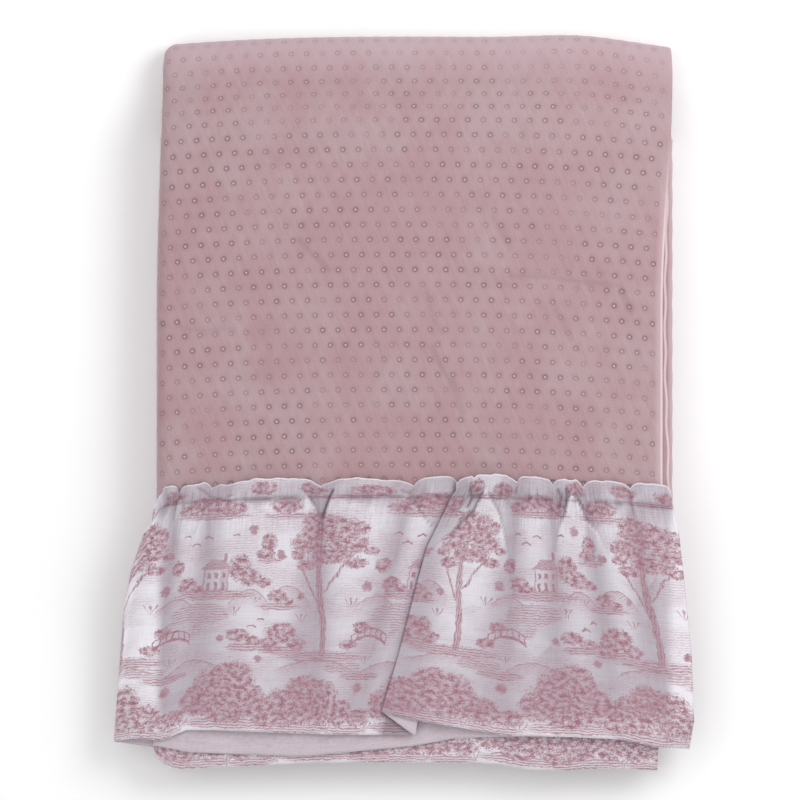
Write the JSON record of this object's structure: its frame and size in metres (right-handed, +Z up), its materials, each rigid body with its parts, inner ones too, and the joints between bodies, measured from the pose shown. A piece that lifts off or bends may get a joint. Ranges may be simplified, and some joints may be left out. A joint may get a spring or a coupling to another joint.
{
  "type": "folded quilt",
  "caption": "Padded velvet quilt with small quilted dots and a gathered printed ruffle, folded into a flat rectangle with the ruffle on top.",
  "frame": {"origin": "bottom centre of the folded quilt's box, on the surface it rests on", "axes": "+Z up out of the top face, +Y from the ruffle to the big fold, +X from the single fold at the left to the hems at the right"},
  "size_m": [0.6772, 0.8554, 0.0985],
  "materials": {
    "velvet": "dusty pink velvet, matt with a soft sheen",
    "ruffle_cloth": "off-white slub cloth with a rose print, matt"
  },
  "bodies": {
    "root": {"quilt_body": "velvet", "ruffle": "ruffle_cloth"}
  },
  "joints": []
}
